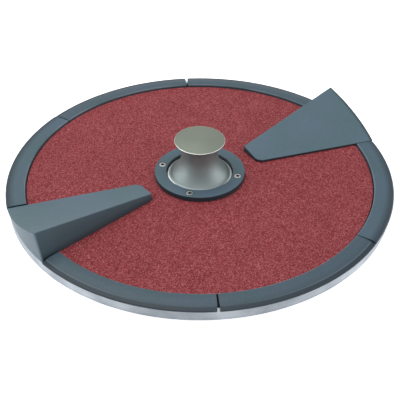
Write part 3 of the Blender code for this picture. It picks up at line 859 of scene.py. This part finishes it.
def ramp_piece(index, finish):
    """A wedge with a twisted top, rounded edges and a stepped foot that sits on disc and plate."""
    node = "ramp_" + str(index)
    ramp = Ramp(node)
    across, along, seat_row = ramp_stations(ramp)
    bm = bmesh.new()
    grid = [[bm.verts.new(ramp.skin(u, v, 0.0, 0.0)) for u in across] for v in along]
    for one, two in zip(grid, grid[1:]):
        for j in range(len(across) - 1):
            bm.faces.new((one[j], one[j + 1], two[j + 1], two[j]))

    # Round the plan: up the low edge, along the rim, down the high edge, back along the tip.
    last_u = len(across) - 1
    last_v = len(along) - 1
    loop = [(0, i) for i in range(last_v)] + [(j, last_v) for j in range(last_u)]
    loop += [(last_u, i) for i in range(last_v, 0, -1)] + [(j, 0) for j in range(last_u, 0, -1)]
    rings = [[grid[i][j] for j, i in loop]]
    for angle in quarter(RAMP_EASE_STEPS, 1):
        grow = math.sin(angle)
        drop = RAMP_EASE * (1.0 - math.cos(angle))
        rings.append([bm.verts.new(ramp.skin(across[j], along[i], grow, drop)) for j, i in loop])
    for upper, lower in zip(rings, rings[1:]):
        join_rings(bm, upper, lower)

    def foot(j, i, z):
        """A vertex at the foot of the wall; the row at the seat lies on the disc's edge."""
        u, v = ramp.plan(across[j], along[i], 1.0)
        place = ramp.point(u, v, z)
        if i == seat_row:
            place = polar(RIM_INNER, math.atan2(place.y, place.x), z)
        return bm.verts.new(place)

    upper_seat = [foot(j, seat_row, RAMP_SEAT) for j in range(last_u + 1)]
    lower_seat = [foot(j, seat_row, RIM_BOTTOM) for j in range(last_u + 1)]
    inner_foot = {(j, i): foot(j, i, RAMP_SEAT) for j, i in loop if i < seat_row}
    outer_foot = {(j, i): foot(j, i, RIM_BOTTOM) for j, i in loop if i > seat_row}
    for j in (0, last_u):
        inner_foot[j, seat_row] = upper_seat[j]
        outer_foot[j, seat_row] = lower_seat[j]
    ramp_walls(bm, loop, rings[-1], inner_foot, outer_foot, seat_row)
    for corners in zip(upper_seat, upper_seat[1:], lower_seat[1:], lower_seat):
        bm.faces.new(corners)
    inner_loop = [inner_foot[c] for c in loop if c[1] < seat_row and c[0] == 0]
    inner_loop += upper_seat
    inner_loop += [inner_foot[c] for c in loop if c[1] < seat_row and c[0] > 0]
    bm.faces.new(inner_loop)
    outer_loop = [outer_foot[c] for c in loop if c[1] > seat_row]
    bm.faces.new(outer_loop + list(reversed(lower_seat)))
    mesh = to_mesh("ramp_wedge", bm, 50.0)
    paint(mesh, finish)
    stand_in(new_object("ramp_wedge_" + str(index), mesh), PLATE, node)


# Centre

SCREW_HOLE_R = 2.2 * MM
SINK_R = 4.9 * MM               # mouth of a countersink, cut from a little past the face
SINK_FOOT_R = 2.1 * MM
SINK_DEPTH = 2.8 * MM
RING_SINK_PAST = 0.7 * MM
HUB_SINK_PAST = 0.6 * MM
RING_EASE = 1.0 * MM
SINK_SHADE_R = 4.3 * MM               # painted shade round each of the ring's screws


def clamp_ring(finish, shade_paint):
    """Moulded ring with four countersunk holes."""
    outline = eased([(RING_HOLE_R, RING_BOTTOM, 0.0), (RING_HOLE_R, RING_TOP, RING_EASE),
                     (RING_R, RING_TOP, RING_EASE), (RING_R, RING_BOTTOM, 0.0)])
    places = [middle(node) for node in screw_names("ring")]
    holes = bmesh.new()
    mouth = RING_TOP + RING_SINK_PAST
    for place in places:
        add_cone(holes, place, SCREW_HOLE_R, SCREW_HOLE_R, RING_BOTTOM - MM, RING_TOP - 1.6 * MM)
        add_cone(holes, place, SINK_FOOT_R, SINK_R, mouth - SINK_DEPTH, mouth)
    mesh = combine(to_mesh("clamp_ring", turned(outline, 192)), holes, "DIFFERENCE")
    paint(mesh, finish, shade_paint)
    # Painted shade on the countersink walls round the screws
    for face in mesh.polygons:
        near = min((face.center.xy - place.xy).length for place in places)
        if near < SINK_SHADE_R and face.normal.z < 0.99:
            face.material_index = 1
    stand_in(new_object("clamp_ring", mesh), PLATE, "retaining_ring")


KNOB_CAP_R = 25.9 * MM
KNOB_CAP_EDGE = 1.2 * MM
KNOB_CAP_STEP = 1.0 * MM        # the fillet under the cap starts this far in from its edge
KNOB_FILLET_LOW = 4.0 * MM      # and runs from here above the neck
KNOB_FILLET_HIGH = 8.2 * MM     # to here
KNOB_FILLET_STEPS = 8
KNOB_NECK_R = 18.5 * MM
KNOB_NECK_Z = 45.0 * MM
KNOB_FLARE_R = 30.6 * MM        # where the flare meets the foot
KNOB_FLARE_POWER = 2.5
KNOB_LIP_TOP = 14.7 * MM        # raised bead round the foot
KNOB_LIP_WIDTH = 1.3 * MM
KNOB_WALL = 2.8 * MM
KNOB_HOLLOW_R = 18.4 * MM       # the hollow's ceiling, outside the sleeve's socket
KNOB_CEILING = 31.0 * MM
KNOB_SOCKET_R = 8.3 * MM
KNOB_SOCKET_TOP = 47.0 * MM


def knob_flare(offset, count):
    points = []
    for step in range(count + 1):
        t = step / count
        radius = KNOB_NECK_R + (KNOB_FLARE_R - KNOB_NECK_R) * t ** KNOB_FLARE_POWER
        points.append((radius - offset, KNOB_NECK_Z + (KNOB_BOTTOM + MM - KNOB_NECK_Z) * t, 0.0))
    return points


def knob_outline():
    """Down the outside from the middle of the cap, round the foot and up the inside."""
    edge = 0.5 * MM
    outline = [(0.0, KNOB_TOP, 0.0), (KNOB_CAP_R, KNOB_TOP, edge),
               (KNOB_CAP_R, KNOB_TOP - KNOB_CAP_EDGE, edge)]
    fillet_r = KNOB_CAP_R - KNOB_CAP_STEP
    for angle in quarter(KNOB_FILLET_STEPS):
        rise = KNOB_FILLET_LOW + (KNOB_FILLET_HIGH - KNOB_FILLET_LOW) * math.cos(angle)
        radius = fillet_r - (fillet_r - KNOB_NECK_R) * math.sin(angle)
        outline.append((radius, KNOB_NECK_Z + rise, 0.0))
    outline += knob_flare(0.0, 28)
    outline += [(KNOB_FOOT_R - 1.9 * MM, KNOB_BOTTOM + 0.9 * MM, 0.25 * MM),
                (KNOB_FOOT_R - KNOB_LIP_WIDTH, KNOB_LIP_TOP, 0.35 * MM),
                (KNOB_FOOT_R, KNOB_LIP_TOP, 0.55 * MM), (KNOB_FOOT_R, KNOB_BOTTOM, 0.3 * MM),
                (KNOB_FLARE_R - KNOB_WALL, KNOB_BOTTOM, 0.0)]
    outline += [p for p in reversed(knob_flare(KNOB_WALL, 20)) if p[1] < KNOB_CEILING - MM]
    outline += [(KNOB_HOLLOW_R, KNOB_CEILING, 0.0), (KNOB_SOCKET_R, KNOB_CEILING, 0.4 * MM),
                (KNOB_SOCKET_R, KNOB_SOCKET_TOP, 0.4 * MM), (0.0, KNOB_SOCKET_TOP, 0.0)]
    return eased(outline, 5)


def knob_piece(satin, bright):
    """The spool, brighter on the bead round its foot and on the edge of its cap."""
    mesh = to_mesh("knob_spool", turned(knob_outline(), 160, closed=False), 50.0)
    paint(mesh, satin, bright)
    bead_inner = KNOB_FOOT_R - KNOB_LIP_WIDTH - 0.3 * MM
    for face in mesh.polygons:
        reach = face.center.xy.length
        below = KNOB_TOP - face.center.z
        bead = reach > bead_inner and face.center.z > KNOB_LIP_TOP - 0.5 * MM
        rolled = reach > KNOB_CAP_R - 0.5 * MM and 0.02 * MM < below < 0.6 * MM
        if bead or rolled:
            face.material_index = 1
    stand_in(new_object("knob_spool", mesh), KNOB_BODY, "knob")


# Plate and hub

BAND_WALL = 6.0 * MM
WEB_BOTTOM = 5.4 * MM
BAND_TOP_WIDTH = 5.0 * MM       # the band's finish runs in over the top edge by this
RIB_BOTTOM = 1.6 * MM
RIB_WIDTH = 6.0 * MM
RIB_TAPER = 0.985
RIB_EASE = 0.9 * MM
RIB_COUNT = 6


def plate_piece(cast, band, shade_paint):
    """Cast disc with a turned band, six drafted ribs below and clearance holes."""
    inner = BAND_R - BAND_WALL
    outline = eased([(BORE_R, WEB_TOP, 0.4 * MM), (RIM_INNER - 2.0 * MM, WEB_TOP, 0.0),
                     (BAND_R - BAND_TOP_WIDTH, WEB_TOP, 0.0), (BAND_R, WEB_TOP, 0.5 * MM),
                     (BAND_R, 0.0, 0.6 * MM), (inner, 0.0, 0.6 * MM),
                     (inner - 1.2 * MM, WEB_BOTTOM, 2.0 * MM), (BORE_R, WEB_BOTTOM, 0.4 * MM)])
    mesh = to_mesh("plate_casting", turned(outline, 288))
    ribs = bmesh.new()
    rib_start = HUB_FLANGE_R + 6.0 * MM
    rib_end = inner + 3.0 * MM
    rib_top = WEB_BOTTOM + MM
    size = (rib_end - rib_start, RIB_WIDTH, rib_top - RIB_BOTTOM)
    for index in range(RIB_COUNT):
        turn = FULL_TURN * index / RIB_COUNT
        centre = polar((rib_start + rib_end) / 2, turn, (RIB_BOTTOM + rib_top) / 2)
        add_block(ribs, centre, size, turn, RIB_TAPER)
    long_edges = [e for e in ribs.edges if e.calc_length() > 50 * MM]
    bmesh.ops.bevel(ribs, geom=long_edges, offset=RIB_EASE, segments=3, affect="EDGES", profile=0.5)
    mesh = combine(mesh, ribs, "UNION")
    holes = bmesh.new()
    for kind in SCREWS:
        for node in screw_names(kind):
            add_cone(holes, middle(node), SCREW_HOLE_R, SCREW_HOLE_R, WEB_BOTTOM - MM, WEB_TOP + MM, 24)
    mesh = combine(mesh, holes, "DIFFERENCE")
    paint(mesh, cast, band, shade_paint)
    band_inner = BAND_R - BAND_TOP_WIDTH
    for face in mesh.polygons:
        reach = outmost(mesh, face)
        if face.center.xy.length > band_inner and reach > band_inner + 0.1 * MM:
            face.material_index = 1
        # Painted shade on the level faces under the rim, seen through its joints and inner gap
        elif face.normal.z > 0.9 and reach > RIM_INNER:
            face.material_index = 2
    stand_in(new_object("plate_casting", mesh), PLATE, "base_plate")


HUB_BARREL_R = 17.0 * MM
HUB_SOCKET_R = 12.5 * MM
HUB_NECK_R = 8.4 * MM
HUB_SOCKET_TOP = 24.0 * MM
HUB_EASE = 0.8 * MM
DRIVE_SLOT = (50.0 * MM, 8.6 * MM, 8.2 * MM)
DRIVE_SLOT_Z = 2.1 * MM         # middle of the slot above the hub's bottom


def hub_piece(finish):
    """Flanged hub with a blind shaft socket, a drive slot and four countersunk holes."""
    flange_top = WEB_BOTTOM - GAP
    outline = eased([(HUB_NECK_R, HUB_TOP, 0.3 * MM), (HUB_BARREL_R, HUB_TOP, HUB_EASE),
                     (HUB_BARREL_R, flange_top, 0.5 * MM), (HUB_FLANGE_R, flange_top, 0.3 * MM),
                     (HUB_FLANGE_R, HUB_BOTTOM, HUB_EASE), (HUB_SOCKET_R, HUB_BOTTOM, HUB_EASE),
                     (HUB_SOCKET_R, HUB_SOCKET_TOP, 0.3 * MM), (HUB_NECK_R, HUB_SOCKET_TOP, 0.3 * MM)])
    cuts = bmesh.new()
    add_block(cuts, Vector((0.0, 0.0, HUB_BOTTOM + DRIVE_SLOT_Z)), DRIVE_SLOT)
    mouth = HUB_BOTTOM - HUB_SINK_PAST
    for node in screw_names("hub"):
        add_cone(cuts, middle(node), SCREW_HOLE_R, SCREW_HOLE_R, HUB_BOTTOM, flange_top + MM, 24)
        add_cone(cuts, middle(node), SINK_R, SINK_FOOT_R, mouth, mouth + SINK_DEPTH)
    mesh = combine(to_mesh("drive_hub", turned(outline, 128)), cuts, "DIFFERENCE")
    paint(mesh, finish)
    stand_in(new_object("drive_hub", mesh), PLATE, "hub")


# Screws

SHANK_R = 1.8 * MM
POINT_R = 1.3 * MM
POINT_LENGTH = 0.5 * MM
FLAT_HEAD_R = 3.6 * MM
FLAT_HEAD_EDGE = 0.3 * MM       # upright edge round a countersunk head
FLAT_HEAD_DEPTH = 2.1 * MM
PAN_HEAD_R = 3.5 * MM
PAN_DOME = 1.4 * MM
PAN_HEAD_DEPTH = 2.3 * MM
PAN_DOME_POWER = 0.8            # flatter than a quarter circle
PAN_DOME_STEPS = 6
CROSS_LENGTH = 4.6 * MM
CROSS_WIDTH = 1.3 * MM
CROSS_TAPER = 0.55
CROSS_FOOT_R = 0.6 * MM
CROSS_MOUTH_R = 1.7 * MM
CROSS_PAST = 0.3 * MM           # the recess is cut from this far above the head
SCREW_TURN = 2.4                # radians from one screw to another for each millimetre along X


def cross_recess(depth):
    """A cutter for a tapered driver recess, from above the head down to a depth."""
    bm = bmesh.new()
    centre = Vector((0.0, 0.0, (CROSS_PAST - depth) / 2))
    for turn in (math.pi / 4, -math.pi / 4):
        add_block(bm, centre, (CROSS_LENGTH, CROSS_WIDTH, CROSS_PAST + depth), turn, CROSS_TAPER)
    add_cone(bm, centre, CROSS_FOOT_R, CROSS_MOUTH_R, -depth - 0.1 * MM, CROSS_PAST, 24)
    return bm


def shank(length):
    """The outline of a screw's lower end, down to its axis."""
    return [(SHANK_R, -length + POINT_LENGTH, 0.1 * MM), (POINT_R, -length, 0.1 * MM),
            (0.0, -length, 0.0)]


def flat_screw_mesh(length):
    """A countersunk screw with its head at z = 0 and its tip below."""
    head = [(0.0, 0.0, 0.0), (FLAT_HEAD_R, 0.0, 0.12 * MM), (FLAT_HEAD_R, -FLAT_HEAD_EDGE, 0.08 * MM),
            (SHANK_R, -FLAT_HEAD_DEPTH, 0.2 * MM)]
    body = to_mesh("flat_screw", turned(eased(head + shank(length)), 48, closed=False))
    return combine(body, cross_recess(1.7 * MM), "DIFFERENCE", 30.0)


def pan_screw_mesh(length):
    """A domed screw with the crown of its head at z = 0 and its tip below."""
    head = []
    for angle in quarter(PAN_DOME_STEPS):
        radius = PAN_HEAD_R * math.sin(angle) ** PAN_DOME_POWER
        head.append((radius, -PAN_DOME * (1.0 - math.cos(angle)), 0.0))
    head += [(PAN_HEAD_R, -PAN_HEAD_DEPTH, 0.15 * MM), (SHANK_R, -PAN_HEAD_DEPTH, 0.1 * MM)]
    body = to_mesh("pan_screw", turned(eased(head + shank(length)), 40, closed=False))
    return combine(body, cross_recess(1.6 * MM), "DIFFERENCE", 30.0)


def shaded_recess(mesh, steel, shade_paint):
    """Steel all over, with painted shade on the faces sunk into the head."""
    paint(mesh, steel, shade_paint)
    for face in mesh.polygons:
        reach = outmost(mesh, face)
        if reach < 2.5 * MM and -1.9 * MM < face.center.z < -0.1 * MM:
            face.material_index = 1


def screws(kind, make, upwards, steel, shade_paint):
    """Copies of one screw mesh at the CAD screws of a kind, head up or head down."""
    low, high = heights(kind + "_screw_1")
    mesh = make(high - low)
    shaded_recess(mesh, steel, shade_paint)
    for node in screw_names(kind):
        low, high = heights(node)
        centre = middle(node)
        obj = new_object(node.replace("_screw_", "_fastener_"), mesh)
        obj.location = (centre.x, centre.y, high if upwards else low)
        if not upwards:
            obj.rotation_euler.x = math.pi
        obj.rotation_euler.z = SCREW_TURN * centre.x / MM
        stand_in(obj, PLATE, node)


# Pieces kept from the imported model

def refinish(node, finish):
    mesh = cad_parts[node].data
    paint(mesh, finish)
    smooth(mesh, 35.0)


# Studio

TARGET = Vector((0.0, 0.0, 0.015))
CAMERA_DISTANCE = 0.8985
CAMERA_RISE = math.radians(36.14)
CAMERA_LENS = 77.43
CAMERA_SHIFT = (0.0007, -0.0694)

FLOOR_SIZE = 4.0
FLOOR_GLOW = 0.45
TENT_BASE = 0.06
TENT_PANELS = [                 # (axis, side, how narrow, brightness)
    ("X", -1.0, 4.0, 2.6),
    ("X", 1.0, 4.0, 2.6),
    ("Y", 1.0, 12.0, 1.5),
    ("Y", -1.0, 3.0, 0.42),
    ("Z", 1.0, 4.0, 1.55),
]


def camera():
    data = bpy.data.cameras.new("camera")
    data.lens = CAMERA_LENS
    data.shift_x, data.shift_y = CAMERA_SHIFT
    data.clip_start = 0.01
    data.clip_end = 20.0
    obj = new_object("camera", data)
    towards = Vector((0.0, -math.cos(CAMERA_RISE), math.sin(CAMERA_RISE)))
    obj.location = TARGET + towards * CAMERA_DISTANCE
    obj.rotation_euler = (math.pi / 2 - CAMERA_RISE, 0.0, 0.0)
    bpy.context.scene.camera = obj


def softbox(name, place, size, power):
    """A rectangular area light that faces the plate."""
    data = bpy.data.lights.new(name, "AREA")
    data.shape = "RECTANGLE"
    data.size, data.size_y = size
    data.energy = power
    obj = new_object(name, data)
    obj.location = place
    obj.rotation_euler = (TARGET - Vector(place)).to_track_quat("-Z", "Y").to_euler()


def floor():
    """Plain pale floor with a faint glow, so that it stays white under soft light."""
    finish = Finish("studio_floor", (0.9, 0.9, 0.9), 0.6)
    finish.tint(finish.noise(0.3), (0.96, 0.96, 0.96), (0.98, 0.98, 0.98))
    finish.set("Emission Color", (1.0, 1.0, 1.0, 1.0))
    finish.set("Emission Strength", FLOOR_GLOW)
    bm = bmesh.new()
    bmesh.ops.create_grid(bm, x_segments=8, y_segments=8, size=FLOOR_SIZE)
    mesh = to_mesh("floor", bm)
    paint(mesh, finish.material)
    obj = new_object("floor", mesh)


def light_tent():
    """A world like a white tent: bright at both sides and overhead, dimmer at the back and in front."""
    world = bpy.data.worlds.new("light_tent")
    world.use_nodes = True
    tent = Nodes(world.node_tree)
    direction = tent.add("ShaderNodeTexCoord").outputs["Generated"]
    total = TENT_BASE
    for axis, sign, power, strength in TENT_PANELS:
        reach = tent.math("MAXIMUM", tent.times(tent.along(direction, axis), sign), 0.0)
        total = tent.plus(total, tent.times(tent.math("POWER", reach, power), strength))
    background = tent.nodes["Background"]
    tent.fill(background.inputs["Color"], (0.97, 0.985, 1.0, 1.0))
    tent.fill(background.inputs["Strength"], total)
    bpy.context.scene.world = world


def studio():
    light_tent()
    bpy.context.scene.view_settings.view_transform = "Standard"
    softbox("top_softbox", (-0.5, 0.5, 1.4), (1.3, 1.0), 10.0)
    softbox("front_softbox", (0.0, -0.75, 1.3), (1.2, 0.45), 2.0)
    floor()


def main():
    # Lit and shaded copies of one ramp plastic: painted light on the left ramp's outer wall, painted
    # shade on the other ramp's shoulder; all slate pieces get painted shade on upright walls
    lit_ramp_plastic = slate_plastic("slate_ramp_plastic", tone=0.98, walls=0.60, foot=0.35,
                                 lit_wall_r=RIM_OUTER - 3.0 * MM)
    shaded_ramp_plastic = slate_plastic("slate_back_plastic", tone=0.98, walls=0.60, foot=0.35,
                                 shoulder=RIM_OUTER - 4.5 * MM)
    rim_plastic = slate_plastic("slate_rim_plastic", tone=0.66, walls=0.1, edge=EDGE_R, inner_highlight_r=RIM_INNER)
    round_plastic = slate_plastic("slate_round_plastic", tone=0.81, walls=0.1,
                                  shoulder=ROUND_R - 3.0 * MM, inner_highlight_r=RIM_INNER)
    ring_plastic = slate_plastic("slate_ring_plastic", tone=0.86, walls=0.85)
    machined = machined_steel()
    steel = screw_steel()
    shade_paint = painted_shade()
    grit_disc(red_grit(), shade_paint)
    for index in range(1, 7):
        rim_piece(index, round_plastic if index in ROUNDED else rim_plastic)
    ramp_piece(1, shaded_ramp_plastic)
    ramp_piece(2, lit_ramp_plastic)
    clamp_ring(ring_plastic, shade_paint)
    knob_piece(satin_steel(), bright_steel())
    plate_piece(cast_aluminium(), turned_band(), shade_paint)
    hub_piece(machined)
    screws("ring", flat_screw_mesh, True, steel, shade_paint)
    screws("hub", flat_screw_mesh, False, steel, shade_paint)
    screws("segment", pan_screw_mesh, False, steel, shade_paint)
    screws("ramp", pan_screw_mesh, False, steel, shade_paint)
    refinish("thread_sleeve", machined)
    refinish("knob_clip", machined)
    refinish("thrust_washer", bronze())
    refinish("knob_seal", seal_rubber())
    camera()
    studio()


main()
